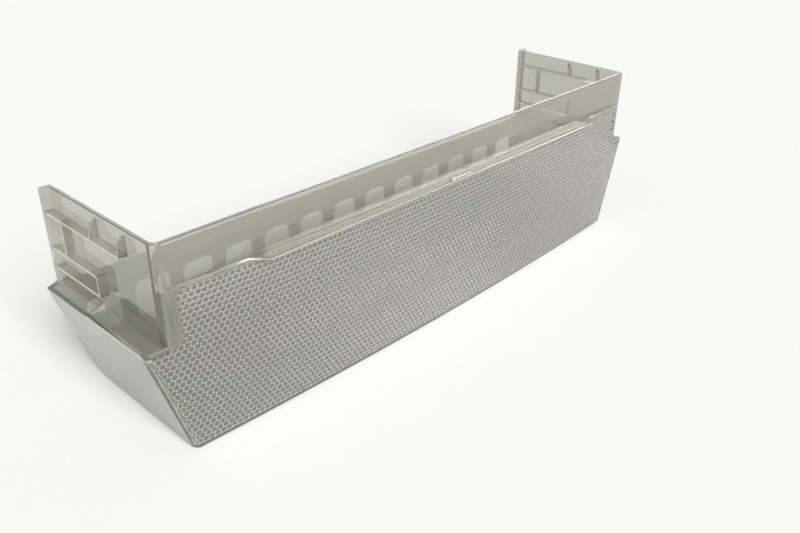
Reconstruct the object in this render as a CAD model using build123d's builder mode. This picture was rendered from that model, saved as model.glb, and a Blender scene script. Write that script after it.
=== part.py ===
"""Bottle shelf of a fridge door: one clear injection-moulded tray.

+X runs along the shelf, -Y is the front that faces the user, +Z is up.
The origin is at the middle of the overall box, on the underside of the floor.
"""

import os
from math import sqrt

from build123d import *

# Overall sizes, in millimetres
shoulder_length = 475.0  # outside the flared tub, at the bead on its shoulder
depth = 107.6  # from the face of the upper front wall to the back
rim_height = 135.0
shoulder_height = 73.2
wall = 2.6
ledge = 12.5  # from the tub's widest point in to the upper end wall
flare = 22.5  # from the tub's widest point in to the end of its floor

# Front: a bowed panel below, a straight wall above, a finger lip between them
panel_stand = 6.5  # how far the bowed panel stands proud at mid-length
panel_margin = 6.0  # from the end walls to the ends of the bowed panel
bow_radius = 4130.0
lip_drop = 25.3  # below the rim
lip_reach = 12.0  # from the face of the upper wall to the edge of the lip
lip_thickness = 2.0
lip_margin = 51.0  # from the end walls to where the lip meets the front
lip_splay = 12.5  # how much each end draws in towards the lip's edge
lip_corner = 2.0
lip_round = 0.6
pill_length = 22.0  # raised pad at the middle of the lip
pill_width = 3.2
pill_rise = 0.7
pill_margin = 1.2

# Roundings, on the outside
tub_corner = 5.0
floor_edge = 4.0
back_edge = 18.0  # between the floor and the back wall
upper_corner = 5.5
rim_round = 0.8

# Shoulder: a raised bead at the front, a sloping web at the back
bead_width = 1.8
bead_rise = 1.6
web_rise = 4.5
web_length = 46.1

# Row of vents along the back wall
vent_count = 13
vent_margin = 11.0  # from the ends of the floor to the middles of the outer vents
vent_bar = 9.5  # between two vents
vent_drop = 17.5  # below the shoulder
vent_height = 26.5
vent_corner = 6.5

# Ribs on the outside of each end wall, with lengths and places from the back edge
rib_reach = 5.3
rib_thickness = 1.5
flange_thickness = 3.0
flange_round = 2.4
top_rail_drop = 14.3  # below the rim
top_rail_length = 82.5
lug_rail_rises = (25.5, 13.0)  # above the shoulder
lug_rail_length = 54.1
post_place = 21.0  # upright between the top rail and the lug rails
gusset_height = 11.5

# Places that follow from the sizes above
floor_length = shoulder_length - 2 * flare
back_y = (depth + lip_reach) / 2
face_y = back_y - depth
panel_y = face_y - panel_stand
end_x = shoulder_length / 2 - ledge
inner_x = end_x - wall
lip_z = rim_height - lip_drop
bead_top = shoulder_height + bead_rise
under_shoulder = shoulder_height - wall
top_rail_z = rim_height - top_rail_drop
lug_rail_z = [shoulder_height + rise for rise in lug_rail_rises]
stop_y = back_y - lug_rail_length + rib_thickness / 2


def tub_length(height):
    """Outside length of the flared tub at a height above the floor."""
    return floor_length + (shoulder_length - floor_length) * height / bead_top


def bowed_plan(height, length, inset, back):
    """Tray in plan at a height: a bowed front set in by inset, plain ends and a straight back."""
    half = length / 2
    bow = bow_radius - sqrt(bow_radius**2 - half**2)
    front = panel_y + inset
    with BuildSketch(Plane.XY.offset(height)) as plan:
        with BuildLine():
            bowed = ThreePointArc((-half, front + bow), (0, front), (half, front + bow))
            Polyline(bowed @ 1, (half, back), (-half, back), bowed @ 0)
        make_face()
    return plan.sketch


def tub_block(bottom, top, inset):
    """Flared tub between two heights, set in by inset, rounded at its front corners and floor."""
    low, high = tub_length(bottom) / 2 - inset, tub_length(top) / 2 - inset
    with BuildPart() as block:
        extrude(bowed_plan(bottom, shoulder_length, inset, back_y - inset), amount=top - bottom)
        with BuildSketch(Plane.XZ):
            with BuildLine():
                Polyline((-low, bottom), (low, bottom), (high, top), (-high, top), close=True)
            make_face()
        extrude(amount=depth, both=True, mode=Mode.INTERSECT)
        uprights = block.edges().filter_by(lambda edge: edge.bounding_box().size.Z > wall)
        fillet(uprights.group_by(Axis.Y)[0], tub_corner - inset)
        floor_edges = block.edges().group_by(Axis.Z)[0].sort_by(Axis.Y)[:-1]
        fillet(floor_edges, floor_edge - inset)
        with BuildSketch(Plane.YZ) as side:
            with Locations((back_y - inset, bottom)):
                Rectangle(2 * depth, top - bottom, align=(Align.MAX, Align.MIN))
            fillet(side.vertices().group_by(Axis.Y)[0].sort_by(Axis.X)[-1], back_edge - inset)
        extrude(amount=shoulder_length, both=True, mode=Mode.INTERSECT)
    return block.part


def upper_plan(height, inset):
    """Box between the end walls in plan, set in by inset and open at the back."""
    with BuildSketch(Plane.XY.offset(height)) as plan:
        with Locations((0, back_y)):
            Rectangle(2 * (end_x - inset), depth - inset, align=(Align.CENTER, Align.MAX))
        fillet(plan.vertices().group_by(Axis.Y)[0], upper_corner - inset)
    return plan.sketch


# Ribs on the right-hand end wall, rooted at half its thickness
with BuildPart() as end_ribs:
    with BuildSketch(Plane.YZ.offset(end_x - wall / 2)):
        with Locations((back_y, top_rail_z)):
            Rectangle(top_rail_length, rib_thickness, align=(Align.MAX, Align.CENTER))
        for height in lug_rail_z:
            with Locations((back_y, height)):
                Rectangle(lug_rail_length, rib_thickness, align=(Align.MAX, Align.CENTER))
        with Locations((back_y - post_place, top_rail_z)):
            Rectangle(rib_thickness, top_rail_z - lug_rail_z[0], align=(Align.CENTER, Align.MAX))
        with Locations((stop_y, lug_rail_z[0])):
            Rectangle(rib_thickness, lug_rail_z[0] - lug_rail_z[1], align=(Align.CENTER, Align.MAX))
    extrude(amount=wall / 2 + rib_reach)

    # Gussets that round off from the top rail up to the wall, at its end and above the stop
    for place in (back_y - top_rail_length + rib_thickness / 2, stop_y):
        with BuildSketch(Plane.XZ.offset(-place)):
            with Locations((end_x, top_rail_z)):
                Ellipse(rib_reach, gusset_height)
            with Locations((end_x - wall / 2, top_rail_z)):
                Rectangle(
                    rib_reach + wall, gusset_height, align=(Align.MIN, Align.MIN), mode=Mode.INTERSECT
                )
        extrude(amount=rib_thickness / 2, both=True)

    # Flange along the back edge, with its outer top corner rounded
    with BuildSketch(Plane.XZ.offset(-back_y)) as flange:
        with Locations((end_x - wall / 2, shoulder_height)):
            Rectangle(
                wall / 2 + rib_reach, rim_height - shoulder_height, align=(Align.MIN, Align.MIN)
            )
        fillet(flange.vertices().group_by(Axis.Z)[-1].sort_by(Axis.X)[-1], flange_round)
    extrude(amount=flange_thickness)

    # Sloping web between the wall and the rear of the shoulder
    with BuildSketch(Plane.XZ.offset(-back_y)):
        with BuildLine():
            Polyline(
                (end_x - wall / 2, shoulder_height - wall / 2),
                (end_x - wall / 2, shoulder_height + web_rise),
                (end_x, shoulder_height + web_rise),
                (tub_length(shoulder_height) / 2, shoulder_height),
                (tub_length(shoulder_height) / 2 - wall, shoulder_height - wall / 2),
                close=True,
            )
        make_face()
    extrude(amount=web_length)

# Finger lip with its splayed ends, rounded edges and a small raised pad
with BuildPart() as lip:
    lip_root = end_x - lip_margin
    with BuildSketch(Plane.XY.offset(lip_z - lip_thickness)) as plate:
        with BuildLine():
            Polyline(
                (-lip_root + lip_splay, face_y - lip_reach),
                (lip_root - lip_splay, face_y - lip_reach),
                (lip_root, face_y),
                (lip_root, face_y + wall / 2),
                (-lip_root, face_y + wall / 2),
                (-lip_root, face_y),
                close=True,
            )
        make_face()
        fillet(plate.vertices().group_by(Axis.Y)[0], lip_corner)
    extrude(amount=lip_thickness)
    free_edges = lip.edges().filter_by(lambda edge: edge.center().Y < face_y - lip_round)
    fillet(free_edges.filter_by(lambda edge: edge.bounding_box().size.Z < lip_round), lip_round)
    with BuildSketch(Plane.XY.offset(lip_z)):
        with Locations((0, face_y - lip_reach + pill_margin + pill_width / 2)):
            SlotOverall(pill_length, pill_width)
    extrude(amount=pill_rise)

with BuildPart() as bottle_shelf:
    # Tub: flared ends, bowed front, rounded floor edges, one wall thickness throughout
    add(tub_block(0, bead_top, 0))
    add(tub_block(wall, under_shoulder, wall), mode=Mode.SUBTRACT)

    # Shoulder, sunk below the bead that is left round its front
    recess_length = tub_length(shoulder_height) - 2 * bead_width
    with BuildSketch(Plane.XY.offset(shoulder_height)) as recess:
        add(bowed_plan(0, recess_length, bead_width, back_y))
        fillet(recess.vertices().group_by(Axis.Y)[0], tub_corner - bead_width)
        with Locations((0, back_y)):
            Rectangle(shoulder_length, web_length, align=(Align.CENTER, Align.MAX))
    extrude(amount=bead_rise, mode=Mode.SUBTRACT)

    # Upper box and the bowed panel in front of it, then the space inside them
    extrude(upper_plan(under_shoulder, 0), amount=rim_height - under_shoulder)
    extrude(
        bowed_plan(under_shoulder, 2 * (end_x - panel_margin), 0, face_y + wall),
        amount=lip_z - under_shoulder,
    )
    extrude(
        bowed_plan(under_shoulder - wall, 2 * inner_x, wall, back_y - wall),
        amount=lip_z - under_shoulder,
        mode=Mode.SUBTRACT,
    )
    extrude(
        upper_plan(lip_z - wall, wall),
        amount=rim_height - lip_z + wall,
        mode=Mode.SUBTRACT,
    )
    with BuildSketch(Plane.XY.offset(shoulder_height)):
        with Locations((0, back_y)):
            Rectangle(2 * inner_x, depth / 2, align=(Align.CENTER, Align.MAX))
    extrude(amount=rim_height - shoulder_height, mode=Mode.SUBTRACT)

    # Rounded rim along the front wall and both end walls
    fillet(bottle_shelf.edges().group_by(Axis.Z)[-1], rim_round)

    add(lip.part)

    # Ribs on both end walls, and a hollow under each web that leaves one wall thickness
    add(end_ribs.part)
    mirror(end_ribs.part, about=Plane.YZ)
    hollow_x = tub_length(under_shoulder) / 2 - wall
    with BuildSketch(Plane.XZ.offset(wall - back_y)):
        with BuildLine():
            Polyline(
                (inner_x, under_shoulder),
                (inner_x, under_shoulder + web_rise),
                (end_x, under_shoulder + web_rise),
                (hollow_x, under_shoulder + wall / 2),
                (hollow_x, under_shoulder),
                close=True,
            )
        make_face()
        mirror(about=Plane.YZ)
    extrude(amount=web_length - 2 * wall, mode=Mode.SUBTRACT)

    # Vents through the back wall
    vent_pitch = (floor_length - 2 * vent_margin) / (vent_count - 1)
    with BuildSketch(Plane.XZ.offset(-back_y)):
        with Locations((0, shoulder_height - vent_drop - vent_height / 2)):
            with GridLocations(vent_pitch, 0, vent_count, 1):
                RectangleRounded(vent_pitch - vent_bar, vent_height, vent_corner)
    extrude(amount=wall, mode=Mode.SUBTRACT)

bottle_shelf.part.label = "bottle_shelf"

os.makedirs("parts", exist_ok=True)
export_step(bottle_shelf.part, "parts/bottle_shelf.step")
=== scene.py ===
"""Dressed bottle shelf of a fridge door: one clear moulded tray with a dimpled front panel.

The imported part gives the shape. The front panel's dimples are sunk into a copy of it by Geometry
Nodes, and a clear plastic is laid over the whole moulding. Sizes are in millimetres in the
classes and become metres where a mesh, lamp or node takes them.
"""

from __future__ import annotations

import logging
import math
from collections.abc import Iterable
from dataclasses import dataclass, field
from enum import Enum
from functools import partial
from typing import Any

import bmesh
import bpy
from mathutils import Matrix, Vector

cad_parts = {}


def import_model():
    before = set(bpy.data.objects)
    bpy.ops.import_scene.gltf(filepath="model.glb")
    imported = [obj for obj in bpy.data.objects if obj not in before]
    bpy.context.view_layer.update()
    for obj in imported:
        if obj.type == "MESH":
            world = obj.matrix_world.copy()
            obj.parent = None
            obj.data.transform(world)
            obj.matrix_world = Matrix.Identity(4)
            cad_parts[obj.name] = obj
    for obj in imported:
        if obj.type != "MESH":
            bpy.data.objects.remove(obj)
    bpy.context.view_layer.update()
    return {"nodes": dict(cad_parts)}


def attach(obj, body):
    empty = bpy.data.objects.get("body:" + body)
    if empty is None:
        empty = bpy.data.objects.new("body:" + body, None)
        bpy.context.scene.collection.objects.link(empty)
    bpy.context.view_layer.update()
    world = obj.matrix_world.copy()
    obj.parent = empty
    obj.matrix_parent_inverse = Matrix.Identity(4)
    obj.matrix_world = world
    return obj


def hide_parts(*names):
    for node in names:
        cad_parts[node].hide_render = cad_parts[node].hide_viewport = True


log = logging.getLogger("bottle_shelf")

MM = 0.001
IMAGE_WIDTH = 800
WHITE = "FFFFFF"

# Attributes of the moulding's mesh that the plastic reads
BOWL = "bowl"
DIMPLED = "dimpled"
SHEET_EDGE = "sheet_edge"

# A Mix node's sockets have the same names for every type of value, so they go by number
FLOAT_A = 2
FLOAT_B = 3
FLOAT_MIXED = 0
COLOUR_A = 6
COLOUR_B = 7
COLOUR_MIXED = 2

# A hexagon's sides are nearer to its middle than its corners are, by this ratio
HEXAGON = 6
SIDE_TO_CORNER = math.sqrt(3) / 2


def linear(code: str) -> tuple[float, float, float, float]:
    """Turns an sRGB hex colour into linear light.

    Args:
        code: Six hex digits.

    Returns:
        Linear red, green and blue, with full alpha.
    """
    parts = [int(code[i : i + 2], 16) / 255 for i in (0, 2, 4)]
    red, green, blue = (p / 12.92 if p <= 0.04045 else ((p + 0.055) / 1.055) ** 2.4 for p in parts)
    return red, green, blue, 1.0


def outward(azimuth: float, elevation: float) -> Vector:
    """Gives the direction from the shelf towards a lamp or the camera.

    Args:
        azimuth: Angle in plan in degrees; 0 is the front and 90 the right.
        elevation: Angle above the table in degrees.

    Returns:
        A unit vector.
    """
    turn, rise = math.radians(azimuth), math.radians(elevation)
    level = math.cos(rise)
    return Vector((math.sin(turn) * level, -math.cos(turn) * level, math.sin(rise)))


def add_node(
    tree: bpy.types.NodeTree,
    kind: str,
    inputs: dict[str | int, Any] | None = None,
    **settings: Any,
) -> bpy.types.Node:
    """Adds a node with its settings, and links or sets its inputs.

    Args:
        tree: Shader or geometry tree.
        kind: Blender's name for the type of node.
        inputs: For each input a socket to link, a node to link by its first output, a list of
            such, or a plain value.
        settings: Attributes of the node.

    Returns:
        The new node.
    """
    node = tree.nodes.new(kind)
    for name, value in settings.items():
        setattr(node, name, value)
    for key, value in (inputs or {}).items():
        for source in value if isinstance(value, list) else [value]:
            if isinstance(source, bpy.types.Node):
                source = source.outputs[0]
            if isinstance(source, bpy.types.NodeSocket):
                tree.links.new(source, node.inputs[key])
            else:
                node.inputs[key].default_value = source
    return node


@dataclass(frozen=True)
class ClearStyrene:
    """General-purpose polystyrene, injection moulded in a polished tool.

    The dimples' ridges are painted paler and their bowls darker, a painted highlight and painted shade
    for the light that the dimples bend; the sheet's edges gather light and are painted paler, a painted
    highlight.
    """

    # To the eye it is glass-like with a smoky grey-green body, sharp bright edges and a faint
    # waviness where the walls shrank as they cooled
    name: str = "clear_polystyrene_moulded"
    haze: str = "C8C9BC"
    # The bowls are painted darker as painted shade and the ridges paler as a painted highlight, standing
    # in for the light that the dimples bend
    bowl: str = "B0B1AA"
    ridge_highlight: str = "E4E4DE"
    # The sheet's edges are painted paler, a painted highlight for the light that they gather
    edge: str = "DEDED8"
    body: str = "A4A790"
    body_density: float = 12.0
    clearness: float = 0.86
    ridge_clearness: float = 0.7
    edge_highlight_clearness: float = 0.66
    basin_rim: float = 0.15
    basin_floor: float = 0.65
    ior: float = 1.59
    smooth: float = 0.02
    scuffed: float = 0.07
    wave_size: float = 45.0
    wave_height: float = 0.4
    wave_strength: float = 0.1
    wave_detail: float = 1.0
    # Single scratches are too fine to show, so they are drawn as scuffed patches
    scuff_size: float = 9.0
    scuff_detail: float = 4.0
    scuff_start: float = 0.45
    scuff_full: float = 0.8

    def tint(self, tree: bpy.types.NodeTree) -> tuple[bpy.types.NodeSocket, bpy.types.NodeSocket]:
        """Lays the dimples' painted highlight and shade and the sheet's painted edge highlight over the
        plain wall.

        Args:
            tree: The material's tree.

        Returns:
            The colour and the clearness of the surface.
        """
        add = partial(add_node, tree)
        bowl, dimpled, sheet_edge = (
            add("ShaderNodeAttribute", attribute_name=name).outputs["Fac"]
            for name in (BOWL, DIMPLED, SHEET_EDGE)
        )
        basin = add(
            "ShaderNodeMapRange",
            {"Value": bowl, "From Min": self.basin_rim, "From Max": self.basin_floor},
            interpolation_type="SMOOTHSTEP",
        )
        # Ridges painted pale as a highlight and bowls painted dark as shade
        painted_relief_shading = add(
            "ShaderNodeMix",
            {"Factor": basin, COLOUR_A: linear(self.ridge_highlight), COLOUR_B: linear(self.bowl)},
            data_type="RGBA",
        )
        # The ridges are also less clear, so they catch the lamps' light as well
        ridge_highlight_clear = add(
            "ShaderNodeMapRange",
            {"Value": basin, "To Min": self.ridge_clearness, "To Max": self.clearness},
        )
        colour: Any = linear(self.haze)
        clear: Any = self.clearness
        # Over the wall go the dimples' painted highlight and shade, then the edges' painted highlight
        for share, layer_colour, layer_clear in (
            (dimpled, painted_relief_shading.outputs[COLOUR_MIXED], ridge_highlight_clear),
            (sheet_edge, linear(self.edge), self.edge_highlight_clearness),
        ):
            colour = add(
                "ShaderNodeMix",
                {"Factor": share, COLOUR_A: colour, COLOUR_B: layer_colour},
                data_type="RGBA",
            ).outputs[COLOUR_MIXED]
            clear = add(
                "ShaderNodeMix",
                {"Factor": share, FLOAT_A: clear, FLOAT_B: layer_clear},
                data_type="FLOAT",
            ).outputs[FLOAT_MIXED]
        return colour, clear

    def finish(self, tree: bpy.types.NodeTree) -> tuple[bpy.types.Node, bpy.types.Node]:
        """Scuffs the polish and lets the walls wave a little.

        Args:
            tree: The material's tree.

        Returns:
            The roughness and the rippled normal.
        """
        add = partial(add_node, tree)
        place = add("ShaderNodeTexCoord").outputs["Object"]
        wave, scuff = (
            add(
                "ShaderNodeTexNoise",
                {"Vector": place, "Scale": 1 / (size * MM), "Detail": detail},
            ).outputs["Fac"]
            for size, detail in (
                (self.wave_size, self.wave_detail),
                (self.scuff_size, self.scuff_detail),
            )
        )
        rough = add(
            "ShaderNodeMapRange",
            {
                "Value": scuff,
                "From Min": self.scuff_start,
                "From Max": self.scuff_full,
                "To Min": self.smooth,
                "To Max": self.scuffed,
            },
        )
        ripple = add(
            "ShaderNodeBump",
            {"Height": wave, "Strength": self.wave_strength, "Distance": self.wave_height * MM},
        )
        return rough, ripple

    def material(self) -> bpy.types.Material:
        """Makes the plastic.

        Returns:
            A clear material with a tinted body.
        """
        material = bpy.data.materials.new(self.name)
        material.use_nodes = True
        tree = material.node_tree
        tree.nodes.clear()
        colour, clear = self.tint(tree)
        rough, ripple = self.finish(tree)
        shader = add_node(
            tree,
            "ShaderNodeBsdfPrincipled",
            {
                "Base Color": colour,
                "Roughness": rough,
                "Normal": ripple,
                "IOR": self.ior,
                "Transmission Weight": clear,
            },
        )
        inside = add_node(
            tree,
            "ShaderNodeVolumeAbsorption",
            {"Color": linear(self.body), "Density": self.body_density},
        )
        add_node(tree, "ShaderNodeOutputMaterial", {"Surface": shader, "Volume": inside})
        return material


@dataclass(frozen=True)
class PaleTable:
    """White laminate table top with a fine matt press finish."""

    # To the eye it is even and dull, so that it shows the shelf's shadow and no mirror image
    name: str = "white_laminate"
    colour: str = "F7F7F6"
    roughness: float = 0.85
    shine: float = 0.0

    def material(self) -> bpy.types.Material:
        """Makes the table top's laminate.

        Returns:
            A plain matt material.
        """
        material = bpy.data.materials.new(self.name)
        material.use_nodes = True
        tree = material.node_tree
        tree.nodes.clear()
        shader = add_node(
            tree,
            "ShaderNodeBsdfPrincipled",
            {
                "Base Color": linear(self.colour),
                "Roughness": self.roughness,
                "Specular IOR Level": self.shine,
            },
        )
        add_node(tree, "ShaderNodeOutputMaterial", {"Surface": shader})
        return material


@dataclass
class DimpledFront:
    """Field of hexagonally packed dimples on the bowed front panel.

    A sheet of dimples is bent to the panel's bow, closed to a slab in front of it and cut out of
    the moulding, so the wall stays one closed skin. Faces that look deeper than one sheet into
    the plastic are marked as its edges.
    """

    pitch: float = 3.9
    row_spacing: float = 3.28
    dimple_depth: float = 0.4
    land: float = 0.3
    bottom: float = 3.5
    step: float = 74.0
    top: float = 107.4
    half_width: float = 242.0
    upper_half_width: float = 218.0
    panel_front: float = -54.3
    bow_radius: float = 4130.0
    slab: float = 9.0
    sheet: float = 4.5
    dimple_seam: float = 0.01
    slab_seam: float = 0.005
    ray_start: float = 0.02
    ray_length: float = 1000.0

    def lengths(self) -> dict[str, float]:
        """Lists the tree's lengths.

        Returns:
            Metres by the name of the input.
        """
        sizes = {
            "Pitch": self.pitch,
            "Row spacing": self.row_spacing,
            "Dimple depth": self.dimple_depth,
            "Land": self.land,
            "Bottom": self.bottom,
            "Step": self.step,
            "Top": self.top,
            "Half width": self.half_width,
            "Upper half width": self.upper_half_width,
            "Panel front": self.panel_front,
            "Bow radius": self.bow_radius,
            "Slab": self.slab,
            "Sheet": self.sheet,
        }
        return {name: size * MM for name, size in sizes.items()}

    def counts(self) -> dict[str, int]:
        """Works out how many dimples cover the panel, odd both ways.

        Returns:
            Numbers by the name of the input.
        """
        return {
            "Columns": 2 * round(self.half_width / self.pitch) + 1,
            "Rows": 2 * int((self.top - self.bottom) / self.row_spacing / 2) + 1,
        }

    def marked_moulding(self, tree: bpy.types.NodeTree, given: bpy.types.NodeOutputs) -> bpy.types.Node:
        """Marks the edges of the sheet: its rims, the ends of its ribs and the lip's front.

        A ray goes inwards from each face. Where the far side is deeper than one sheet, the face
        is an edge.

        Args:
            tree: The tree that is being built.
            given: The tree's inputs.

        Returns:
            The moulding with its marks.
        """
        add = partial(add_node, tree)
        normal = add("GeometryNodeInputNormal")
        inward = add("ShaderNodeVectorMath", {0: normal, "Scale": -1.0}, operation="SCALE")
        below = add(
            "ShaderNodeVectorMath",
            {0: normal, 1: (-self.ray_start * MM,) * 3, 2: add("GeometryNodeInputPosition")},
            operation="MULTIPLY_ADD",
        )
        ray = add(
            "GeometryNodeRaycast",
            {
                "Target Geometry": given["Moulding"],
                "Source Position": below,
                "Ray Direction": inward,
                "Ray Length": self.ray_length * MM,
            },
        )
        deep = add(
            "ShaderNodeMath",
            {0: ray.outputs["Hit Distance"], 1: given["Sheet"]},
            operation="GREATER_THAN",
        )
        return add(
            "GeometryNodeStoreNamedAttribute",
            {"Geometry": given["Moulding"], "Name": SHEET_EDGE, "Value": deep},
            data_type="FLOAT",
            domain="FACE",
        )

    def dimple(self, tree: bpy.types.NodeTree, given: bpy.types.NodeOutputs) -> bpy.types.Node:
        """Makes one dimple: a six-sided fan, split once and sunk to a paraboloid below its rim.

        Args:
            tree: The tree that is being built.
            given: The tree's inputs.

        Returns:
            The dimple, flat on the XY plane.
        """
        add = partial(add_node, tree)
        place = add("ShaderNodeSeparateXYZ", {0: add("GeometryNodeInputPosition")}).outputs
        half_pitch = add("ShaderNodeMath", {0: given["Pitch"], 1: 0.5}, operation="MULTIPLY")
        radius = add("ShaderNodeMath", {0: half_pitch, 1: SIDE_TO_CORNER}, operation="DIVIDE")
        fan = add(
            "GeometryNodeMeshCircle",
            {"Vertices": HEXAGON, "Radius": radius},
            fill_type="TRIANGLE_FAN",
        )
        upright = add(
            "GeometryNodeTransform",
            {"Geometry": fan, "Rotation": (0.0, 0.0, math.pi / HEXAGON)},
        )
        split = add("GeometryNodeSubdivideMesh", {"Mesh": upright, "Level": 1})

        # Reach is the squared distance from the middle, and 1 at the middle of a side
        x_squared = add("ShaderNodeMath", {0: place["X"], 1: 2.0}, operation="POWER")
        y_squared = add("ShaderNodeMath", {0: place["Y"], 1: 2.0}, operation="POWER")
        across = add("ShaderNodeMath", {0: x_squared, 1: y_squared}, operation="ADD")
        side_squared = add("ShaderNodeMath", {0: half_pitch, 1: 2.0}, operation="POWER")
        reach = add("ShaderNodeMath", {0: across, 1: side_squared}, operation="DIVIDE")

        # The mark is 1 at the middle and 0 at the corners
        to_corner = add("ShaderNodeMath", {0: reach, 1: SIDE_TO_CORNER**2}, operation="MULTIPLY")
        mark = add("ShaderNodeMath", {0: 1.0, 1: to_corner}, operation="SUBTRACT")
        marked = add(
            "GeometryNodeStoreNamedAttribute",
            {"Geometry": split, "Name": BOWL, "Value": mark},
            data_type="FLOAT",
            domain="POINT",
        )
        listed = add(
            "GeometryNodeStoreNamedAttribute",
            {"Geometry": marked, "Name": DIMPLED, "Value": 1.0},
            data_type="FLOAT",
            domain="FACE",
        )
        from_rim = add("ShaderNodeMath", {0: reach, 1: 1.0}, operation="SUBTRACT")
        sunk = add("ShaderNodeMath", {0: from_rim, 1: given["Dimple depth"]}, operation="MULTIPLY")
        bowl = add(
            "GeometryNodeSetPosition",
            {"Geometry": listed, "Offset": add("ShaderNodeCombineXYZ", {"Z": sunk})},
        )

        # Stretched from the rows of a regular lattice to the panel's own
        regular = add("ShaderNodeMath", {0: given["Pitch"], 1: SIDE_TO_CORNER}, operation="MULTIPLY")
        tall = add("ShaderNodeMath", {0: given["Row spacing"], 1: regular}, operation="DIVIDE")
        stretch = add("ShaderNodeCombineXYZ", {"X": 1.0, "Y": tall, "Z": 1.0})
        return add("GeometryNodeTransform", {"Geometry": bowl, "Scale": stretch})

    def lattice(self, tree: bpy.types.NodeTree, given: bpy.types.NodeOutputs) -> bpy.types.Node:
        """Sets out the dimples' middles, every second row shifted, within the stepped outline.

        Args:
            tree: The tree that is being built.
            given: The tree's inputs.

        Returns:
            The points, flat on the XY plane with the panel's height along Y.
        """
        add = partial(add_node, tree)
        place = add("ShaderNodeSeparateXYZ", {0: add("GeometryNodeInputPosition")}).outputs
        half_pitch = add("ShaderNodeMath", {0: given["Pitch"], 1: 0.5}, operation="MULTIPLY")
        spans = {}
        for axis, count, gap in (("X", "Columns", "Pitch"), ("Y", "Rows", "Row spacing")):
            gaps = add("ShaderNodeMath", {0: given[count], 1: 1.0}, operation="SUBTRACT")
            spans[f"Vertices {axis}"] = given[count]
            spans[f"Size {axis}"] = add("ShaderNodeMath", {0: gaps, 1: given[gap]}, operation="MULTIPLY")
        grid = add("GeometryNodeMeshGrid", spans)
        rows_up = add("ShaderNodeMath", {0: place["Y"], 1: given["Row spacing"]}, operation="DIVIDE")
        row = add("ShaderNodeMath", {0: rows_up}, operation="ROUND")
        odd = add("ShaderNodeMath", {0: row, 1: 2.0}, operation="FLOORED_MODULO")
        shift = add("ShaderNodeMath", {0: odd, 1: half_pitch}, operation="MULTIPLY")
        ends = add("ShaderNodeMath", {0: given["Bottom"], 1: given["Top"]}, operation="ADD")
        middle = add("ShaderNodeMath", {0: ends, 1: 0.5}, operation="MULTIPLY")
        staggered = add(
            "GeometryNodeSetPosition",
            {"Geometry": grid, "Offset": add("ShaderNodeCombineXYZ", {"X": shift, "Y": middle})},
        )
        above = add("ShaderNodeMath", {0: place["Y"], 1: given["Step"]}, operation="GREATER_THAN")
        shoulder = add(
            "ShaderNodeMath",
            {0: given["Half width"], 1: given["Upper half width"]},
            operation="SUBTRACT",
        )
        narrower = add("ShaderNodeMath", {0: above, 1: shoulder}, operation="MULTIPLY")
        limit = add("ShaderNodeMath", {0: given["Half width"], 1: narrower}, operation="SUBTRACT")
        inside = add("ShaderNodeMath", {0: limit, 1: half_pitch}, operation="SUBTRACT")
        from_middle = add("ShaderNodeMath", {0: place["X"]}, operation="ABSOLUTE")
        outside = add("ShaderNodeMath", {0: from_middle, 1: inside}, operation="GREATER_THAN")
        return add(
            "GeometryNodeDeleteGeometry",
            {"Geometry": staggered, "Selection": outside},
            domain="POINT",
        )

    def bent_slab(
        self, tree: bpy.types.NodeTree, given: bpy.types.NodeOutputs, flat: bpy.types.Node
    ) -> bpy.types.Node:
        """Stands the sheet of dimples up on the bowed panel and closes it to a slab.

        Args:
            tree: The tree that is being built.
            given: The tree's inputs.
            flat: The sheet of dimples on the XY plane.

        Returns:
            The slab, whose dimpled side reaches into the wall.
        """
        add = partial(add_node, tree)
        place = add("ShaderNodeSeparateXYZ", {0: add("GeometryNodeInputPosition")}).outputs
        radius_squared = add("ShaderNodeMath", {0: given["Bow radius"], 1: 2.0}, operation="POWER")
        x_squared = add("ShaderNodeMath", {0: place["X"], 1: 2.0}, operation="POWER")
        height_squared = add(
            "ShaderNodeMath", {0: radius_squared, 1: x_squared}, operation="SUBTRACT"
        )
        height = add("ShaderNodeMath", {0: height_squared}, operation="SQRT")
        bow = add("ShaderNodeMath", {0: given["Bow radius"], 1: height}, operation="SUBTRACT")
        start = add("ShaderNodeMath", {0: given["Panel front"], 1: given["Land"]}, operation="ADD")
        panel = add("ShaderNodeMath", {0: start, 1: bow}, operation="ADD")
        front = add("ShaderNodeMath", {0: panel, 1: place["Z"]}, operation="SUBTRACT")
        stood = add("ShaderNodeCombineXYZ", {"X": place["X"], "Y": front, "Z": place["Y"]})
        bent = add("GeometryNodeSetPosition", {"Geometry": flat, "Position": stood})
        raised = add(
            "GeometryNodeExtrudeMesh",
            {
                "Mesh": bent,
                "Offset": (0.0, -1.0, 0.0),
                "Offset Scale": given["Slab"],
                "Individual": False,
            },
            mode="FACES",
        )
        back = add("GeometryNodeFlipFaces", {0: bent})
        both = add("GeometryNodeJoinGeometry", {0: [raised, back]})
        return add(
            "GeometryNodeMergeByDistance",
            {"Geometry": both, "Distance": self.slab_seam * MM},
        )

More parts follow.
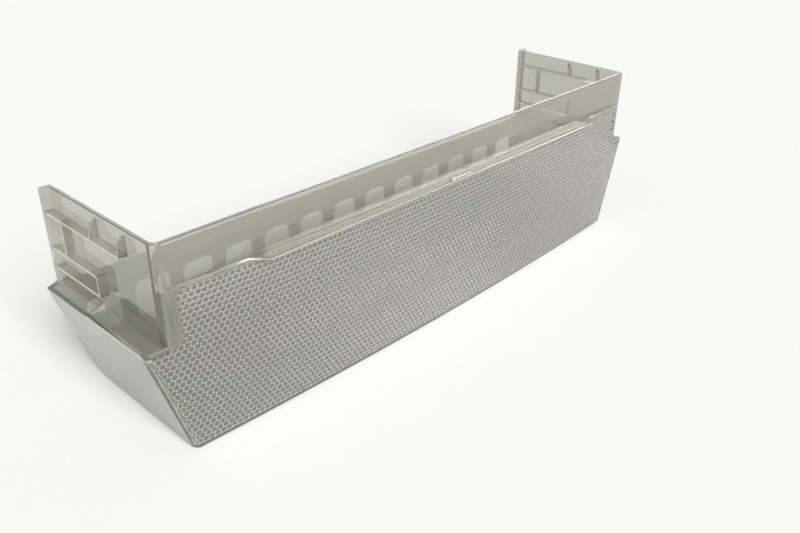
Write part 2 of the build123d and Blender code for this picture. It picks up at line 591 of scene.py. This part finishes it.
    def build_tree(self) -> bpy.types.NodeTree:
        """Builds the Geometry Nodes tree that sinks the dimples into the moulding.

        Returns:
            The tree, with a named input for each size and for the plastic.
        """
        tree = bpy.data.node_groups.new("Dimpled front", "GeometryNodeTree")
        face = tree.interface
        face.new_socket("Moulding", in_out="INPUT", socket_type="NodeSocketGeometry")
        for name in self.lengths():
            face.new_socket(name, in_out="INPUT", socket_type="NodeSocketFloat")
        for name in self.counts():
            face.new_socket(name, in_out="INPUT", socket_type="NodeSocketInt")
        face.new_socket("Plastic", in_out="INPUT", socket_type="NodeSocketMaterial")
        face.new_socket("Moulding", in_out="OUTPUT", socket_type="NodeSocketGeometry")
        add = partial(add_node, tree)
        given = add("NodeGroupInput").outputs
        spread = add(
            "GeometryNodeInstanceOnPoints",
            {"Points": self.lattice(tree, given), "Instance": self.dimple(tree, given)},
        )
        dimples = add("GeometryNodeRealizeInstances", {0: spread})
        flat = add(
            "GeometryNodeMergeByDistance",
            {"Geometry": dimples, "Distance": self.dimple_seam * MM},
        )
        cut = add(
            "GeometryNodeMeshBoolean",
            {0: self.marked_moulding(tree, given), 1: self.bent_slab(tree, given, flat)},
            operation="DIFFERENCE",
            solver="MANIFOLD",
        )
        small = add("GeometryNodeTriangulate", {0: cut})
        smooth = add("GeometryNodeSetShadeSmooth", {0: small})
        real = add("GeometryNodeRealizeInstances", {0: smooth})
        dressed = add("GeometryNodeSetMaterial", {"Geometry": real, "Material": given["Plastic"]})
        add("NodeGroupOutput", {0: dressed})
        return tree

    def sink_into(self, moulding: bpy.types.Object, plastic: bpy.types.Material) -> bpy.types.Mesh:
        """Sinks the dimples into a closed moulding.

        Args:
            moulding: Object whose mesh is closed and merged.
            plastic: Material of the whole moulding.

        Returns:
            A plain mesh with the dimpled front.
        """
        tree = self.build_tree()
        values: dict[str, Any] = {**self.lengths(), **self.counts(), "Plastic": plastic}
        modifier = moulding.modifiers.new("Dimpled front", "NODES")
        modifier.node_group = tree
        for item in tree.interface.items_tree:
            if item.in_out == "INPUT" and item.name in values:
                modifier[item.identifier] = values[item.name]
        graph = bpy.context.evaluated_depsgraph_get()
        mesh = bpy.data.meshes.new_from_object(moulding.evaluated_get(graph))
        moulding.modifiers.remove(modifier)
        return mesh


@dataclass
class Shelf:
    """The moulding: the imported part's own skin with the dimpled front."""

    node: str = "bottle_shelf"
    name: str = "shelf_moulding"
    plastic: ClearStyrene = ClearStyrene()
    front: DimpledFront = field(default_factory=DimpledFront)
    crease: float = 52.0
    flat_weight: int = 100
    weld: float = 0.002
    sliver: float = 0.001

    def skin(self, source: bpy.types.Object) -> bpy.types.Mesh:
        """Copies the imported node's mesh and merges its loose triangles.

        Args:
            source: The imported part's node.

        Returns:
            A closed mesh.
        """
        work = bmesh.new()
        work.from_mesh(source.data)
        bmesh.ops.transform(work, matrix=source.matrix_world, verts=work.verts)
        bmesh.ops.remove_doubles(work, verts=work.verts, dist=self.weld * MM)
        bmesh.ops.dissolve_degenerate(work, edges=work.edges, dist=self.sliver * MM)
        mesh = bpy.data.meshes.new(self.name)
        work.to_mesh(mesh)
        if "custom_normal" in mesh.attributes:
            mesh.attributes.remove(mesh.attributes["custom_normal"])
        open_edges = sum(not edge.is_manifold for edge in work.edges)
        log.info("skin: %d faces, %d open edges", len(work.faces), open_edges)
        work.free()
        return mesh

    def build(self, source: bpy.types.Object) -> bpy.types.Object:
        """Builds the dressed moulding.

        Args:
            source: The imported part's node.

        Returns:
            The finished object, at the origin.
        """
        piece = bpy.data.objects.new(self.name, self.skin(source))
        bpy.context.scene.collection.objects.link(piece)
        piece.data = self.front.sink_into(piece, self.plastic.material())
        piece.data.set_sharp_from_angle(angle=math.radians(self.crease))
        flats = piece.modifiers.new("Flat faces stay flat", "WEIGHTED_NORMAL")
        flats.keep_sharp = True
        flats.weight = self.flat_weight
        graph = bpy.context.evaluated_depsgraph_get()
        piece.data = bpy.data.meshes.new_from_object(piece.evaluated_get(graph))
        piece.modifiers.remove(flats)
        piece.data.name = self.name
        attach(piece, "root")
        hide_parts(self.node)
        return piece


class LampPlace(Enum):
    """Where a studio lamp stands, as azimuth and elevation in degrees."""

    KEY = (-20.0, 38.0)
    RIGHT = (80.0, 50.0)
    FRONT = (32.0, 4.0)
    REAR = (129.0, 28.0)


@dataclass(frozen=True)
class SoftBox:
    """Rectangular lamp behind a diffuser."""

    place: LampPlace
    power: float
    width: float
    height: float

    def light(self) -> bpy.types.Light:
        """Makes the lamp.

        Returns:
            An area light, named for its place.
        """
        light = bpy.data.lights.new(f"lamp_{self.place.name.lower()}", "AREA")
        light.energy = self.power
        light.shape = "RECTANGLE"
        light.size = self.width * MM
        light.size_y = self.height * MM
        return light


@dataclass
class Studio:
    """Pale table, white surroundings and soft lamps."""

    table: PaleTable = PaleTable()
    table_size: float = 9000.0
    drop: float = 0.3
    ambient: float = 0.3
    key_strength: float = 3.65
    key_spread: float = 30.0
    key_distance: float = 2000.0
    box_distance: float = 1400.0
    boxes: tuple[SoftBox, ...] = (
        SoftBox(LampPlace.RIGHT, power=4.0, width=600.0, height=500.0),
        SoftBox(LampPlace.FRONT, power=3.0, width=900.0, height=180.0),
        SoftBox(LampPlace.REAR, power=2.8, width=800.0, height=480.0),
    )

    def floor(self) -> bpy.types.Object:
        """Lays the table top just under the shelf.

        Returns:
            The table top's object.
        """
        half = self.table_size * MM / 2
        corners = [(-half, -half), (half, -half), (half, half), (-half, half)]
        mesh = bpy.data.meshes.new("table_top")
        mesh.from_pydata([(x, y, -self.drop * MM) for x, y in corners], [], [(0, 1, 2, 3)])
        mesh.materials.append(self.table.material())
        top = bpy.data.objects.new("table_top", mesh)
        bpy.context.scene.collection.objects.link(top)
        return top

    def surroundings(self) -> None:
        """Lights all round softly, and shows white to the camera, in gloss and through the plastic."""
        world = bpy.data.worlds.new("white_studio")
        world.use_nodes = True
        tree = world.node_tree
        tree.nodes.clear()
        add = partial(add_node, tree)
        path = add("ShaderNodeLightPath").outputs
        seen: Any = path["Is Camera Ray"]
        for name in ("Is Glossy Ray", "Is Transmission Ray"):
            seen = add("ShaderNodeMath", {0: seen, 1: path[name]}, operation="MAXIMUM")
        # Light on its way from a matt surface stays at the ambient level
        straight = add("ShaderNodeMath", {0: path["Diffuse Depth"], 1: 1.0}, operation="LESS_THAN")
        shown = add("ShaderNodeMath", {0: seen, 1: straight}, operation="MULTIPLY")
        strength = add(
            "ShaderNodeMapRange",
            {"Value": shown, "To Min": self.ambient, "To Max": 1.0},
        )
        light = add("ShaderNodeBackground", {"Color": linear(WHITE), "Strength": strength})
        add("ShaderNodeOutputWorld", {"Surface": light})
        bpy.context.scene.world = world

    def hang(self, place: LampPlace, light: bpy.types.Light, distance: float) -> bpy.types.Object:
        """Hangs a lamp so that it faces the shelf.

        Args:
            place: Azimuth and elevation of the lamp.
            light: The lamp itself.
            distance: From the shelf's origin, in millimetres.

        Returns:
            The lamp's object.
        """
        out = outward(*place.value)
        lamp = bpy.data.objects.new(light.name, light)
        turned = out.to_track_quat("Z", "Y").to_matrix().to_4x4()
        lamp.matrix_world = Matrix.Translation(out * distance * MM) @ turned
        bpy.context.scene.collection.objects.link(lamp)
        return lamp

    def lamps(self, piece: bpy.types.Object) -> None:
        """Hangs a wide key lamp that lights the table evenly, and soft boxes for the shelf alone.

        Args:
            piece: The dressed shelf.
        """
        lit = bpy.data.collections.new("lit_by_soft_boxes")
        lit.objects.link(piece)
        key = bpy.data.lights.new("lamp_key", "SUN")
        key.energy = self.key_strength
        key.angle = math.radians(self.key_spread)
        self.hang(LampPlace.KEY, key, self.key_distance)
        for box in self.boxes:
            lamp = self.hang(box.place, box.light(), self.box_distance)
            lamp.light_linking.receiver_collection = lit

    def build(self, piece: bpy.types.Object) -> None:
        """Sets up the table, the surroundings and the lamps.

        Args:
            piece: The dressed shelf.
        """
        self.floor()
        self.surroundings()
        self.lamps(piece)


@dataclass
class Viewpoint:
    """Camera at the photograph's angle."""

    place: tuple[float, float, float] = (-401.5, -377.7, 318.2)
    azimuth: float = -47.02
    elevation: float = 28.507
    roll: float = 0.825
    focal_pixels: float = 822.28
    sensor: float = 36.0
    nearest: float = 10.0

    def build(self) -> bpy.types.Object:
        """Sets up the scene's camera.

        Returns:
            The camera's object.
        """
        back = outward(self.azimuth, self.elevation)
        right = (-back).cross(Vector((0, 0, 1))).normalized()
        up = right.cross(-back)
        turn = math.radians(self.roll)
        right, up = (
            math.cos(turn) * right + math.sin(turn) * up,
            math.cos(turn) * up - math.sin(turn) * right,
        )
        data = bpy.data.cameras.new("camera")
        data.sensor_fit = "HORIZONTAL"
        data.sensor_width = self.sensor
        data.lens = self.focal_pixels * self.sensor / IMAGE_WIDTH
        data.clip_start = self.nearest * MM
        camera = bpy.data.objects.new("camera", data)
        axes = Matrix((right, up, back)).transposed().to_4x4()
        camera.matrix_world = Matrix.Translation(Vector(self.place) * MM) @ axes
        bpy.context.scene.collection.objects.link(camera)
        bpy.context.scene.camera = camera
        return camera


def main() -> None:
    """Builds the shelf and its studio."""
    logging.basicConfig(level=logging.INFO, format="%(name)s: %(message)s")
    bpy.context.scene.view_settings.view_transform = "Standard"
    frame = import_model()
    shelf = Shelf()
    piece = shelf.build(frame["nodes"][shelf.node])
    log.info("%s: %d faces", piece.name, len(piece.data.polygons))
    Studio().build(piece)
    Viewpoint().build()


if __name__ == "__main__":
    main()
